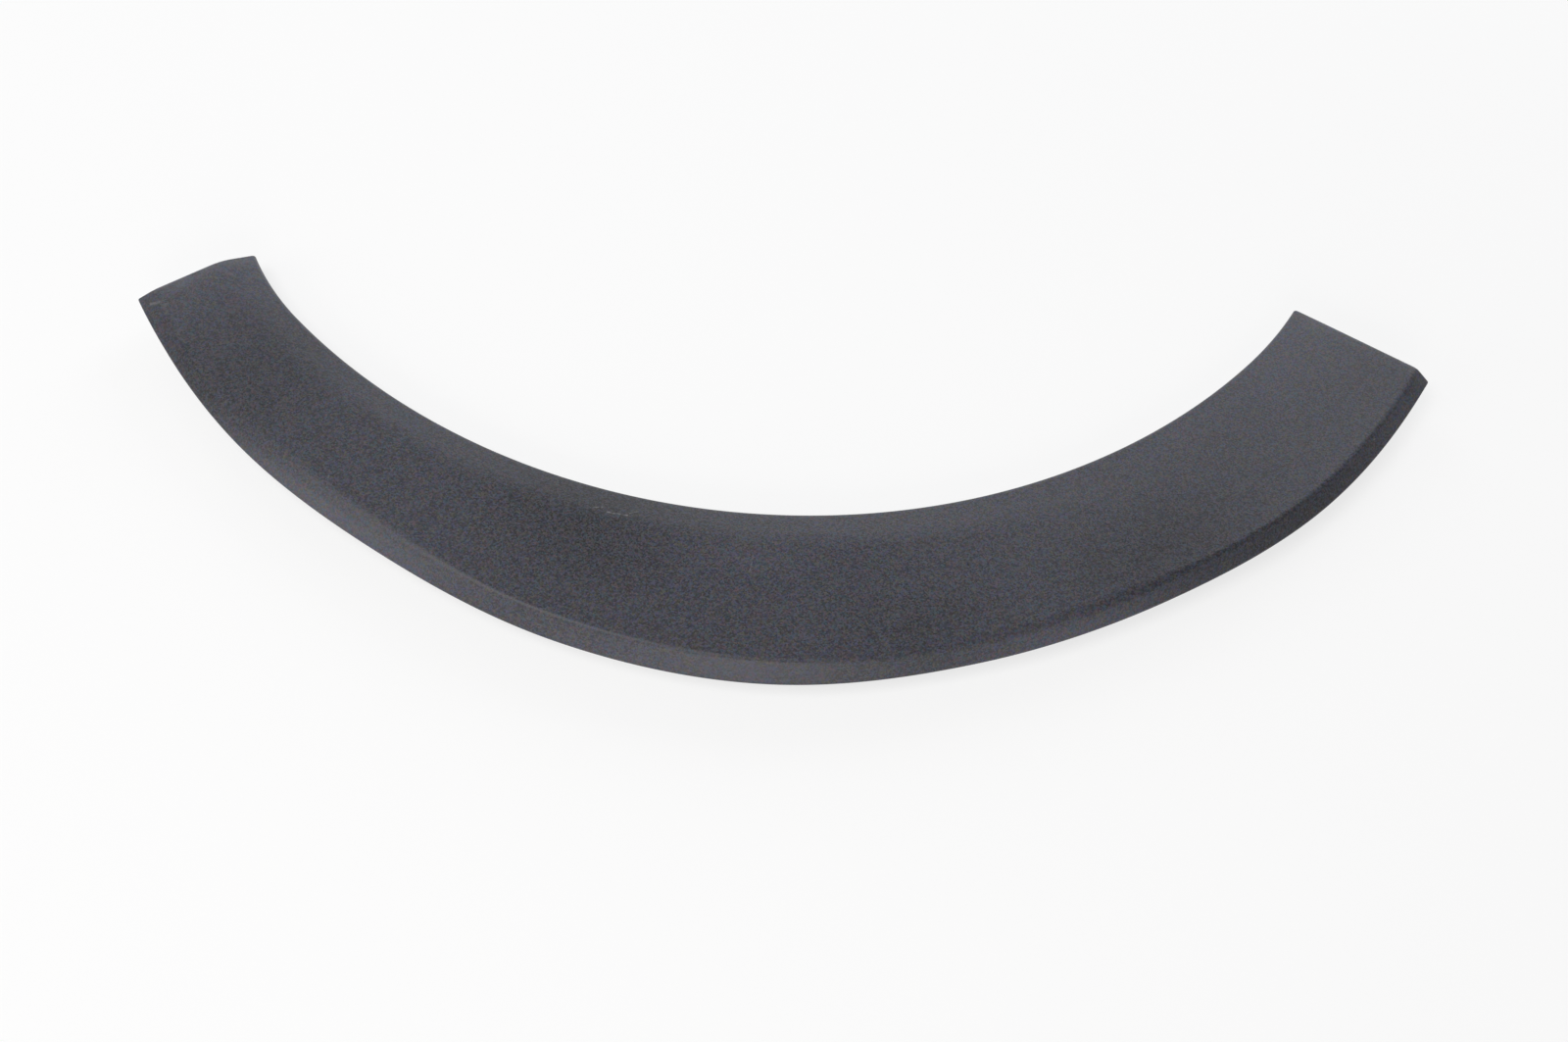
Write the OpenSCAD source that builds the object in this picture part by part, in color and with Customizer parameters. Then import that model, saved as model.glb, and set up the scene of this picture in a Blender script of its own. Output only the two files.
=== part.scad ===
// Wheel arch trim: one moulded plastic band that frames the top of a wheel opening.
// It lies face up on the rim of its inner flange, with the crown of the arch towards -Y.
// The outer foot of the band sits on the body panel, and the inner flange turns into the opening.

/* [Arch] */
// Radius of the wheel opening edge
arch_r = 374.5; // [340:0.5:420]
// Angle from the crown to the left end
left_end_angle = 52; // [46:0.1:58]
// Angle from the crown to the right end
right_end_angle = 56.3; // [48:0.1:62]
// How far the opening edge draws in at the left end
left_draw_in = 4.5; // [0:0.1:8]
// How far the opening edge draws in at the right end
right_draw_in = 2; // [0:0.1:8]

/* [Band width, from the opening edge to the outer foot] */
// Width at the left end
width_left_end = 65.4; // [56:0.1:80]
// Width a quarter of the way up from the left end
width_left_low = 76.2; // [64:0.1:88]
// Width half way up from the left end
width_left_mid = 83; // [70:0.1:96]
// Width just left of the crown
width_left_high = 94.4; // [80:0.1:108]
// Width at the crown
width_crown = 100.6; // [86:0.1:116]
// Width just right of the crown
width_right_high = 96.3; // [82:0.1:110]
// Width half way up from the right end
width_right_mid = 92.5; // [78:0.1:106]
// Width a quarter of the way up from the right end
width_right_low = 92.1; // [78:0.1:106]
// Width at the right end
width_right_end = 84.6; // [72:0.1:98]

/* [Section] */
// Thickness of the moulding
wall = 2.4; // [1.8:0.1:3]
// Depth of the inner flange below the opening edge
flange_depth = 15; // [12:0.5:22]
// Lean of the inner flange, away from the wheel
flange_draft = 1; // [0.5:0.1:2]
// Width of the facet beside the opening edge
facet_w = 20; // [14:0.5:26]
// Rise of the facet on the left side and over the crown
facet_rise = 8.2; // [5:0.1:9]
// Rise of the facet at the right end, where it runs straight into the face
facet_rise_right = 2.6; // [2:0.1:6]
// Rise of the face, from the opening edge to the crease
face_rise = 9.5; // [8:0.1:13]
// Height of the outer bevel at the crown
bevel_drop_crown = 12.5; // [9:0.5:14]
// Height of the outer bevel at both ends
bevel_drop_end = 6.3; // [5:0.1:9]
// Outward lean of the bevel at the crown
bevel_lean_crown = 7.4; // [6:0.1:11]
// Outward lean of the bevel at both ends
bevel_lean_end = 9.2; // [8:0.1:12]
// Height of the upright land at the outer foot
land = 1.2; // [0.6:0.1:2]

/* [Soft edges] */
// Reach of the rolled opening edge to each side of its corner
roll_soft = 2.2; // [1.5:0.1:4]
// Reach of the soft fold between facet and face
facet_soft = 7; // [3:0.5:9]
// Reach of the soft crease half way up the left side
crease_soft_left = 8.5; // [3:0.5:9]
// Reach of the soft crease half way up the right side
crease_soft_right = 5; // [2:0.5:9]
// Reach of the crisp crease elsewhere
crease_soft = 2.2; // [1.8:0.1:5]
// Reach of the soft corner at the top of the land
land_soft = 0.6; // [0.3:0.1:0.9]
// Round along the edges of both ends
end_round = 1.2; // [0.6:0.1:1.6]

/* [Ends] */
// Thickness of the wall that closes each end
end_wall = 2.4; // [2:0.1:4]
// Height of the lower edge of an end wall beside the inner flange
end_toe = 6; // [3:0.5:9]
// How far the left end flares out along the bevel
left_flare = 2.4; // [0:0.1:4]

/* [Clip seats] */
// Number of clip seats on each side of the crown
clip_pairs = 3; // [2:1:4]
// Angle from the nearer end to the last clip seat
clip_end_angle = 7; // [6:0.5:9]
// Length of a clip seat along the band
clip_l = 26; // [22:1:30]
// Depth of a clip seat across the band
clip_d = 22; // [18:1:26]
// Thickness of the walls and the plate of a clip seat
clip_t = 1.8; // [1.4:0.1:2.2]
// Radius of the hole that grips a clip
clip_hole_r = 4.25; // [3.5:0.05:5]
// Width of the slot that a clip slides in through
clip_slot_w = 5; // [4:0.1:5.5]
// Clearance between a clip seat and the body panel
clip_gap = 2; // [1.5:0.1:3]

/* [Pegs and screws] */
// Angle from the crown to each locating peg
peg_angle = 18; // [14:0.5:22]
// Radius of a locating peg
peg_r = 3; // [2:0.1:4]
// Length of a locating peg below its boss
peg_l = 8; // [5:0.5:10]
// Length of the tapered tip of a peg
peg_tip = 1.5; // [0.5:0.1:2.5]
// Radius of the boss that carries a peg
boss_r = 5.5; // [5:0.1:7]
// Angle from the crown to each outer screw hole
screw_angle = 36; // [31:0.5:40]
// Radius of a screw hole in the inner flange
screw_r = 3.25; // [2.5:0.05:4]
// Height of the screw holes above the rim of the flange
screw_z = 7; // [6:0.1:8]
// Radius of the pad round a screw hole
pad_r = 6; // [5:0.1:6]
// Thickness that the pad adds behind the flange
pad_t = 1.6; // [1:0.1:3]

/* [Ribs] */
// Number of ribs along each edge of the band
rib_count = 14; // [8:1:20]
// Angle from each end to the first rib
rib_end_angle = 4; // [2:0.5:6]
// Thickness of a rib
rib_t = 1.6; // [1.2:0.1:2]
// Reach of a rib across the face
rib_w = 9; // [5:0.5:11]
// Share of a flange's height that its ribs take
rib_share = 0.8; // [0.5:0.05:0.9]

/* [Hidden] */
$fn = 48;
// Overlap that fuses an added feature, and the margin by which a cut passes through
bite = 3;
// Number of stretches that the band is swept in
steps = 68;
// Points in each soft corner of the section, from the inner flange to the outer foot
ROUND = [4, 3, 4, 1];
// Angles at which the crease starts to soften, is soft, starts to turn crisp, and is crisp again
soft_left_angles = [-48, -38, -30, -14];
soft_right_angles = [2, 10, 20, 30];
// Angles between which the facet fades out to the right
facet_fade_angles = [2, 38];
// Angle over which the left end flares, and over which the opening edge draws in
flare_angle = 5;
draw_in_angle = 8;
// Step of the body panel below the opening edge
panel_step = 6;
// Taper of a peg's tip
tip_share = 0.7;
WIDTHS = [
    width_left_end, width_left_low, width_left_mid, width_left_high, width_crown,
    width_right_high, width_right_mid, width_right_low, width_right_end,
];
LAST = len(WIDTHS) - 1;
face_z = flange_depth + face_rise;

function mix(a, b, t) = a + (b - a) * t;
function limit(t) = min(1, max(0, t));
function ease(t) = let (s = limit(t)) s * s * (3 - 2 * s);
// How far a value is through a range, with a smooth start and end
function between(a, range) = ease((a - range[0]) / (range[1] - range[0]));
// How far a value is inside a stretch, given as where it starts, is full, starts to end, and ends
function within(a, v) = between(a, [v[0], v[1]]) - between(a, [v[2], v[3]]);
function unit(v) = v / norm(v);
// The inward normal of a side of the section, which is on the right of its direction
function inward(p, q) = let (u = unit(q - p)) [u[1], -u[0]];
// The angle that a length takes along the opening edge
function turn(length) = length / arch_r * 180 / PI;

// How far an angle is towards its end of the arch: 0 at the crown, 1 at either end
function towards_end(a) = pow(a < 0 ? a / left_end_angle : a / right_end_angle, 2);
function drop(a) = mix(bevel_drop_crown, bevel_drop_end, towards_end(a));
function lean(a) = mix(bevel_lean_crown, bevel_lean_end, towards_end(a));
function facet_z(a) =
    flange_depth + mix(facet_rise, facet_rise_right, between(a, facet_fade_angles));
function crease_reach(a) =
    crease_soft
    + (crease_soft_left - crease_soft) * within(a, soft_left_angles)
    + (crease_soft_right - crease_soft) * within(a, soft_right_angles);

// Band width at an angle, on a smooth curve through the nine widths
function station_w(i) =
    i < 0 ? 2 * WIDTHS[0] - WIDTHS[1]
    : i > LAST ? 2 * WIDTHS[LAST] - WIDTHS[LAST - 1]
    : WIDTHS[i];
function curve(p, q, r, s, t) =
    q + t / 2 * (r - p + t * (2 * p - 5 * q + 4 * r - s + t * (3 * (q - r) + s - p)));
function band_w(a) =
    let (x = limit((a + left_end_angle) / (left_end_angle + right_end_angle)) * LAST)
    let (i = min(floor(x), LAST - 1))
    curve(station_w(i - 1), station_w(i), station_w(i + 1), station_w(i + 2), x - i);

// Radius of the opening edge, which draws in towards the two ends
function edge_r(a) =
    let (from_end = a < 0 ? a + left_end_angle : right_end_angle - a)
    arch_r - (a < 0 ? left_draw_in : right_draw_in) * pow(limit(1 - from_end / draw_in_angle), 2);

// Corners of the outer skin as [radius, height], from the rim of the inner flange to the outer foot
function skin(a) = let (foot_r = arch_r + band_w(a), foot_z = face_z - drop(a)) [
    [edge_r(a) + flange_draft, 0],
    [edge_r(a), flange_depth],
    [edge_r(a) + facet_w, facet_z(a)],
    [foot_r - lean(a), face_z],
    [foot_r, foot_z + land],
    [foot_r, foot_z],
];
// A corner moved inwards by t, to where its two sides meet again
function inset(p, q, r, t) =
    let (m = inward(p, q), n = inward(q, r))
    q + t * (m + n) / (1 + m * n);
// The outer skin moved inwards by t, with its two ends kept at their height
function inset_skin(a, t) = let (c = skin(a)) [
    c[0] + [t, 0],
    for (i = [1:4]) inset(c[i - 1], c[i], c[i + 1], t),
    c[5] - [t, 0],
];
// The inner skin: at the outer foot it follows the bevel down to the foot's height
function inner_skin(a) =
    let (c = skin(a), m = inset_skin(a, wall))
    let (along = unit(c[4] - c[3]), start = c[4] + wall * inward(c[3], c[4]))
    let (foot = start + along * (c[5][1] - start[1]) / along[1])
    [m[0], m[1], m[2], m[3], mix(m[3], foot, rib_share), foot];
// The middle of the wall, where added features are fused
function core(a) =
    let (p = inset_skin(a, wall / 2), q = inner_skin(a))
    [p[0], p[1], p[2], p[3], (skin(a)[5] + q[5]) / 2];

// Points of a soft corner at q that reaches s to each side
function soften(p, q, r, s, n) =
    let (start = q + unit(p - q) * s, end = q + unit(r - q) * s)
    [for (i = [0:n]) let (t = i / n) start * pow(1 - t, 2) + q * 2 * t * (1 - t) + end * pow(t, 2)];
function soft_path(c, reach) = [
    c[0],
    for (i = [0:3]) each soften(c[i], c[i + 1], c[i + 2], reach[i], ROUND[i]),
    c[5],
];
function outer_path(a, t) =
    soft_path(inset_skin(a, t), [roll_soft, facet_soft, crease_reach(a), land_soft]);
function inner_path(a) =
    soft_path(inner_skin(a), [roll_soft / 2, facet_soft, crease_reach(a) - wall / 2, land_soft]);
// The lower edge of an end wall: straight from the outer foot to the toe beside the inner flange
function end_path(a) =
    let (c = inner_path(a), n = len(c) - 1)
    [
        c[0],
        for (i = [1:n])
            [c[i][0], mix(end_toe, c[n][1], (c[i][0] - c[0][0]) / (c[n][0] - c[0][0]))],
    ];

// A point of the section at angle a, set on the arch, with the flare of the left end along the bevel
function flare(a, r) =
    let (c = skin(a))
    -turn(left_flare) * ease(1 - (a + left_end_angle) / flare_angle)
        * limit((r - c[3][0]) / (c[5][0] - c[3][0]));
function on_arch(a, p) =
    let (b = a + flare(a, p[0]))
    [p[0] * sin(b), -p[0] * cos(b), p[1]];

// Each station is [angle, inset of the outer skin, whether an end wall fills the section]
inner_end = turn(end_wall + end_round);
SIDE = [
    [0, end_round, true],
    [turn(end_round * 0.3), end_round * 0.3, true],
    [turn(end_round), 0, true],
    [turn(end_wall), 0, true],
    [inner_end, 0, false],
];
STATIONS = [
    for (s = SIDE) [s[0] - left_end_angle, s[1], s[2]],
    for (k = [1:steps - 1])
        [mix(inner_end - left_end_angle, right_end_angle - inner_end, k / steps), 0, false],
    for (i = [len(SIDE) - 1:-1:0]) [right_end_angle - SIDE[i][0], SIDE[i][1], SIDE[i][2]],
];
HALF = len(outer_path(0, 0));
RING = 2 * HALF;
function ring(s) =
    let (top = outer_path(s[0], s[1]), back = s[2] ? end_path(s[0]) : inner_path(s[0]))
    [
        for (p = top) on_arch(s[0], p),
        for (i = [HALF - 1:-1:0]) on_arch(s[0], back[i]),
    ];
POINTS = [for (s = STATIONS) each ring(s)];
function middle(axis) =
    let (v = [for (p = POINTS) p[axis]])
    (min(v) + max(v)) / 2;
// The middle of the trim's outline in plan, measured from the centre of the arch
MIDDLE = [middle(0), middle(1), 0];

// Feature places that follow the sizes above
clip_last = min(left_end_angle, right_end_angle) - clip_end_angle;
CLIPS = [
    for (k = [0:clip_pairs - 1], side = [-1, 1])
        side * clip_last * (2 * k + 1) / (2 * clip_pairs - 1),
];
PEGS = [-peg_angle, peg_angle];
SCREWS = [-screw_angle, 0, screw_angle];
RIBS = [
    for (k = [0:rib_count - 1])
        mix(rib_end_angle - left_end_angle, right_end_angle - rib_end_angle, k / (rib_count - 1)),
];
// Radius of the middle of the face, the same on both sides of the crown
function face_r(a) = min([for (b = [-a, a]) let (c = core(b)) (c[2][0] + c[3][0]) / 2]);
function core_z(a, r) =
    let (c = core(a))
    mix(c[2][1], c[3][1], (r - c[2][0]) / (c[3][0] - c[2][0]));
// Height of the body panel behind the trim, and of the seats, level with each other in a pair
function panel_z(a, r) = mix(flange_depth - panel_step, face_z - drop(a), (r - arch_r) / band_w(a));
function seat_z(a) = min([for (b = [-a, a]) panel_z(b, face_r(b))]) + clip_gap;

// Stands its children at an angle of the arch: outwards is -Y there, and along the band is X
module at_arch(a, r, z) {
    rotate([0, 0, a]) translate([0, -r, z]) children();
}
// An outline of [radius, height] points, made into a plate of thickness t across angle a
module plate(a, t, outline) {
    rotate([0, 0, a - 90]) rotate([90, 0, 0]) linear_extrude(t, center = true) polygon(outline);
}

module shell() {
    sides = [
        for (k = [0:len(STATIONS) - 2], i = [0:RING - 1])
            let (p = k * RING + i, q = k * RING + (i + 1) % RING)
            each [[p, p + RING, q + RING], [p, q + RING, q]],
    ];
    end = (len(STATIONS) - 1) * RING;
    caps = [
        for (i = [0:HALF - 2])
            let (p = i, q = i + 1, r = RING - 2 - i, s = RING - 1 - i)
            each [[p, q, r], [p, r, s], [end + r, end + q, end + p], [end + s, end + r, end + p]],
    ];
    polyhedron(POINTS, concat(sides, caps));
}

// A box on the back of the face, open towards the crown, with a keyhole in its plate for a clip
module clip_seat(a) {
    r = face_r(a);
    low = seat_z(a);
    near = r - clip_d / 2;
    far = r + clip_d / 2;
    open = -sign(a);
    difference() {
        plate(a, clip_l, [[near, low], [far, low], [far, core_z(a, far)], [near, core_z(a, near)]]);
        at_arch(a, r, low + clip_t + face_z / 2)
            translate([open * clip_t, 0, 0])
            cube([clip_l, clip_d - 2 * clip_t, face_z], center = true);
        at_arch(a, r, low - bite) cylinder(r = clip_hole_r, h = clip_t + 2 * bite);
        at_arch(a, r, low)
            translate([open * clip_l / 2, 0, 0])
            cube([clip_l, clip_slot_w, 2 * bite], center = true);
    }
}

module peg(a) {
    r = face_r(a);
    low = seat_z(a);
    at_arch(a, r, low) cylinder(r = boss_r, h = core_z(a, r) - low);
    at_arch(a, r, low - peg_l + peg_tip) cylinder(r = peg_r, h = peg_l - peg_tip + clip_t);
    at_arch(a, r, low - peg_l) cylinder(r1 = peg_r * tip_share, r2 = peg_r, h = peg_tip);
}

// A cylinder that points outwards from the arch centre, through the inner flange
module radial(a, from_r, length, r) {
    at_arch(a, from_r, screw_z) rotate([90, 0, 0]) cylinder(r = r, h = length);
}

module screw_pad(a) {
    radial(a, arch_r + flange_draft + wall / 2, wall / 2 + pad_t, pad_r);
}

module screw_hole(a) {
    radial(a, arch_r - bite, wall + flange_draft + pad_t + 2 * bite, screw_r);
}

// Ribs that brace the bevel and the inner flange against the face
module rib_pair(a) {
    c = core(a);
    plate(a, rib_t, [c[3], c[3] + unit(c[2] - c[3]) * rib_w, mix(c[3], c[4], rib_share)]);
    plate(a, rib_t, [c[1], mix(c[1], c[0], rib_share), c[1] + unit(c[2] - c[1]) * rib_w]);
}

module arch_trim() {
    color([0.29, 0.29, 0.31])
    translate(-MIDDLE)
    difference() {
        union() {
            shell();
            for (a = CLIPS) clip_seat(a);
            for (a = PEGS) peg(a);
            for (a = SCREWS) screw_pad(a);
            for (a = RIBS) rib_pair(a);
        }
        for (a = SCREWS) screw_hole(a);
    }
}

arch_trim();
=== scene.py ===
import math

import bpy
from mathutils import Matrix, Vector


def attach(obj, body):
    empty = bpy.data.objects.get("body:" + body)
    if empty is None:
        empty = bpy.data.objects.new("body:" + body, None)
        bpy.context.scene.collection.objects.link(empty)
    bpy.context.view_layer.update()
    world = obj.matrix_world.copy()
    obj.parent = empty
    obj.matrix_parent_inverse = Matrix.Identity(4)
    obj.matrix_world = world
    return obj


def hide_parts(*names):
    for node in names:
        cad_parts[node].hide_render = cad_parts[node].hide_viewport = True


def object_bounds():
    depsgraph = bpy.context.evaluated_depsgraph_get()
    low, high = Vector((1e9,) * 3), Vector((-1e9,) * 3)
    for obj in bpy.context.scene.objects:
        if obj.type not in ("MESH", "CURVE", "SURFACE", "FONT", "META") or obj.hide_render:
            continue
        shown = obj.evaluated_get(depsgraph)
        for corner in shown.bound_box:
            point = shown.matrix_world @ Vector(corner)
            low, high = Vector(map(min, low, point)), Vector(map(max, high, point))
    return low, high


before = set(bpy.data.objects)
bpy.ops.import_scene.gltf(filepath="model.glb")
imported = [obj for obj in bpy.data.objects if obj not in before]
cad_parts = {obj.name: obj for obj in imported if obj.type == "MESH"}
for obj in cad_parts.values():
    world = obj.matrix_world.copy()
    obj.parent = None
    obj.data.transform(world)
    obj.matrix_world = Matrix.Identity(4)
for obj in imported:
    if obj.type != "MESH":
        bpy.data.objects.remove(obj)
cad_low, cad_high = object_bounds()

# The moulding is swept round the centre of the wheel opening. Its sizes are in millimetres and
# degrees, as in the part's source. The last step of its tree fits it into the box of the CAD part,
# in metres, with this share of the box left free.
BOX_MARGIN = 0.00002

SECTION_SIZES = {
    "Opening Radius": 374.5,
    "Left End Angle": 52.0,
    "Right End Angle": 56.3,
    "Left Draw In": 4.5,
    "Right Draw In": 2.0,
    "Draw In Angle": 8.0,
    "Wall": 2.4,
    "Flange Depth": 15.0,
    "Flange Draft": 1.0,
    "Facet Width": 20.0,
    "Facet Rise": 8.2,
    "Facet Rise Right": 2.6,
    "Face Rise": 9.5,
    "Bevel Drop Crown": 12.5,
    "Bevel Drop End": 6.3,
    "Bevel Lean Crown": 7.4,
    "Bevel Lean End": 9.2,
    "Land": 1.2,
    "Roll Reach": 2.2,
    "Facet Reach": 7.0,
    "Crease Reach Left": 8.5,
    "Crease Reach Right": 5.0,
    "Crease Reach": 2.2,
    "Land Reach": 0.6,
}
OTHER_SIZES = {
    "End Toe": 6.0,
    "Left Flare": 2.4,
    "Flare Angle": 5.0,
    "Rib Count": 14,
    "Rib End Angle": 4.0,
    "Rib Thickness": 1.6,
    "Rib Width": 9.0,
    "Rib Share": 0.8,
    "Clip Pairs": 3,
    "Clip End Angle": 7.0,
    "Clip Length": 26.0,
    "Clip Depth": 22.0,
    "Clip Wall": 1.8,
    "Clip Hole Radius": 4.25,
    "Clip Slot Width": 5.0,
    "Clip Gap": 2.0,
    "Panel Step": 6.0,
    "Peg Angle": 18.0,
    "Peg Radius": 3.0,
    "Peg Length": 8.0,
    "Peg Tip": 1.5,
    "Boss Radius": 5.5,
    "Screw Angle": 36.0,
    "Screw Height": 7.0,
    "Screw Radius": 3.25,
    "Pad Radius": 6.0,
    "Pad Thickness": 1.6,
    "Box Length": cad_high[0] - cad_low[0],
    "Box Depth": cad_high[1] - cad_low[1],
    "Box Height": cad_high[2] - cad_low[2],
}
# Band width from the opening edge to the outer foot, at even steps from the left end to the right
WIDTHS = (65.4, 76.2, 83.0, 94.4, 100.6, 96.3, 92.5, 92.1, 84.6)
SECTION_SIZES |= {f"Width {i + 1}": width for i, width in enumerate(WIDTHS)}
SIZES = SECTION_SIZES | OTHER_SIZES
# Angles at which the crease starts to soften, is soft, starts to turn crisp, and is crisp again
SOFT_LEFT = (-48.0, -38.0, -30.0, -14.0)
SOFT_RIGHT = (2.0, 10.0, 24.0, 34.0)
# Angles between which the facet fades out to the right
FACET_FADE = (2.0, 38.0)
# Overlap that fuses an added feature, and the margin by which a cut passes through
BITE = 3.0
# Points nearer to each other than this are one point, in millimetres
MERGE_DISTANCE = 0.0005
# Sides of the round forms on the back, corners of a rib, and the share of a peg's radius that is
# left at its tip
ROUND_SIDES = 48
RIB_CORNERS = 3
PEG_TIP_SHARE = 0.7
# An edge that turns by more degrees than this is shaded sharp
SHARP_ANGLE = 32.0

# The plastic's own colour, and that of its scuffs, of the wear and painted highlight by its ends,
# and of the painted highlight on its opening edge
PLASTIC = (0.0455, 0.0455, 0.059)
SCUFFED_AND_LIT = (0.17, 0.17, 0.18)
# The grain's pebbles: how many in a metre, and how softly they meet
PEBBLES_PER_METRE = 1050.0
PEBBLE_SMOOTHNESS = 0.4
# The grain's height in metres, and how much of it shows on the hidden back and on the front
GRAIN_HEIGHT = 0.00006
GRAIN_ON_BACK = 0.1
GRAIN_ON_FRONT = 0.9
# The grain's specks and its tints: how many in a metre, and their share of the colour
SPECKS_PER_METRE = 1300.0
SPECK_SHARE = 0.5
TINTS_PER_METRE = 750.0
WARM_SHARE = 0.24
GREEN_SHARE = 0.12
# Soft noises of the plastic: how many grains in a metre, their detail and their roughness. The
# broad one has a share of the colour.
FINE_NOISE = (760.0, 3.0, 0.65)
SCUFF_NOISE = (420.0, 3.0, 0.7)
WEAR_NOISE = (90.0, 4.0, 0.65)
BROAD_NOISE = (11.0, 2.0, 0.5)
BROAD_SHARE = 0.06
# Roughness of the back and of the front, and what a speck of the grain adds to it
BACK_ROUGHNESS = 0.42
FRONT_ROUGHNESS = 0.5
SPECK_ROUGHNESS = 0.06
# Levels of the noise between which a scuff, and the wear and painted highlight at an end, come out
SCUFF_BREAKS = (0.3, 0.62)
WEAR_BREAKS = (0.25, 0.65)
# The least width of a ragged stroke, as a share of its own, and how far it fades out past that
LEAST_STROKE = 0.4
STROKE_FADE = 1.3
# How far the wear and painted highlight reach from an end, and the painted highlight from the
# rolled opening edge, in millimetres, and their strengths
END_WEAR_AND_HIGHLIGHT_REACH = 11.0
LEFT_END_WEAR_AND_HIGHLIGHT = 0.42
RIGHT_END_WEAR_AND_HIGHLIGHT = 0.18
OPENING_HIGHLIGHT_REACH = 3.2
OPENING_HIGHLIGHT = 0.2

# How white and how rough the floor is
FLOOR_WHITE = 0.9
FLOOR_ROUGHNESS = 0.9
# How far the floor near the part is lifted towards white for the camera and in reflections, and
# the distances between which it turns plain white, in metres
FLOOR_LIFT = 0.75
LIFT_DISTANCES = (0.45, 1.6)
# How far past the opening edge the floor under the part stays dark, in millimetres, and the angles
# between which that changes
DARK_AT_CROWN = 68.0
DARK_AT_ENDS = 40.0
DARK_ANGLES = (10.0, 50.0)
# How the dark comes in past the opening edge and goes out past the band, in millimetres, and how
# it goes out at the two ends, in degrees
DARK_START = (2.0, 8.0)
DARK_FADE = 12.0
DARK_END_FADE = 3.0
# The floor is round and curves up at its rim into a wall, in metres
MIDDLE_RADIUS = 1.0
FLOOR_RADIUS = 24.0
WALL_RISE = 6.0
WALL_STEPS = 8
FLOOR_SIDES = 64
# The strength of the light from all round
WORLD_LIGHT = 0.125
# The lamp panels, all the same size and the same distance from the part, in metres
PANEL_SIZE = 1.2
PANEL_DISTANCE = 2.4
# The camera's place in metres, its yaw, pitch and roll in radians, its lens and sensor in
# millimetres, and the nearest and farthest things that it sees, in metres
CAMERA_PLACE = (-0.016817, -0.582816, 0.910880)
CAMERA_TURNS = (0.0375498, 1.0235467, 0.1097378)
LENS = 45.0
SENSOR_WIDTH = 36.0
CAMERA_REACH = (0.01, 50.0)

# The blank of the sweep: stretches along the band, steps in the rounded ends, and points in each
# soft corner of the section, from the rim of the inner flange to the outer foot
STRETCHES = 320
END_STEPS = 6
END_ROUND = 1.2
END_WALL = 2.4
CORNER_STEPS = (0, 8, 8, 10, 3, 0)
# What the finished mesh keeps: "back" is 1 where the moulding is hidden on the car
KEPT_ATTRIBUTES = {
    "position", "sharp_edge", "sharp_face", "material_index",
    "back", "arch_angle", "arch_radius", "past_opening", "past_crease", "from_end",
}


class Field:
    """A value or a vector that flows through a node tree, so that formulas read as they are."""

    def __init__(self, tree, socket):
        self.tree, self.socket = tree, socket
        self.is_vector = socket.type == "VECTOR"

    def _with(self, other, operation):
        vector = self.is_vector or (isinstance(other, Field) and other.is_vector)
        kind = "ShaderNodeVectorMath" if vector else "ShaderNodeMath"
        return self.tree.node(kind, self, other, operation=operation)

    def __add__(self, other):
        return self._with(other, "ADD")

    def __sub__(self, other):
        return self._with(other, "SUBTRACT")

    def __mul__(self, other):
        if self.is_vector:
            return self.tree.node("ShaderNodeVectorMath", self, other, operation="SCALE")
        if isinstance(other, Field) and other.is_vector:
            return other * self
        return self._with(other, "MULTIPLY")

    def __truediv__(self, other):
        return self._with(other, "DIVIDE")

    def __neg__(self):
        return self * -1

    def __radd__(self, other):
        return self + other

    def __rmul__(self, other):
        return self * other

    def __rsub__(self, other):
        return self.tree.node("ShaderNodeMath", other, self, operation="SUBTRACT")

    def __rtruediv__(self, other):
        return self.tree.node("ShaderNodeMath", other, self, operation="DIVIDE")


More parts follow.
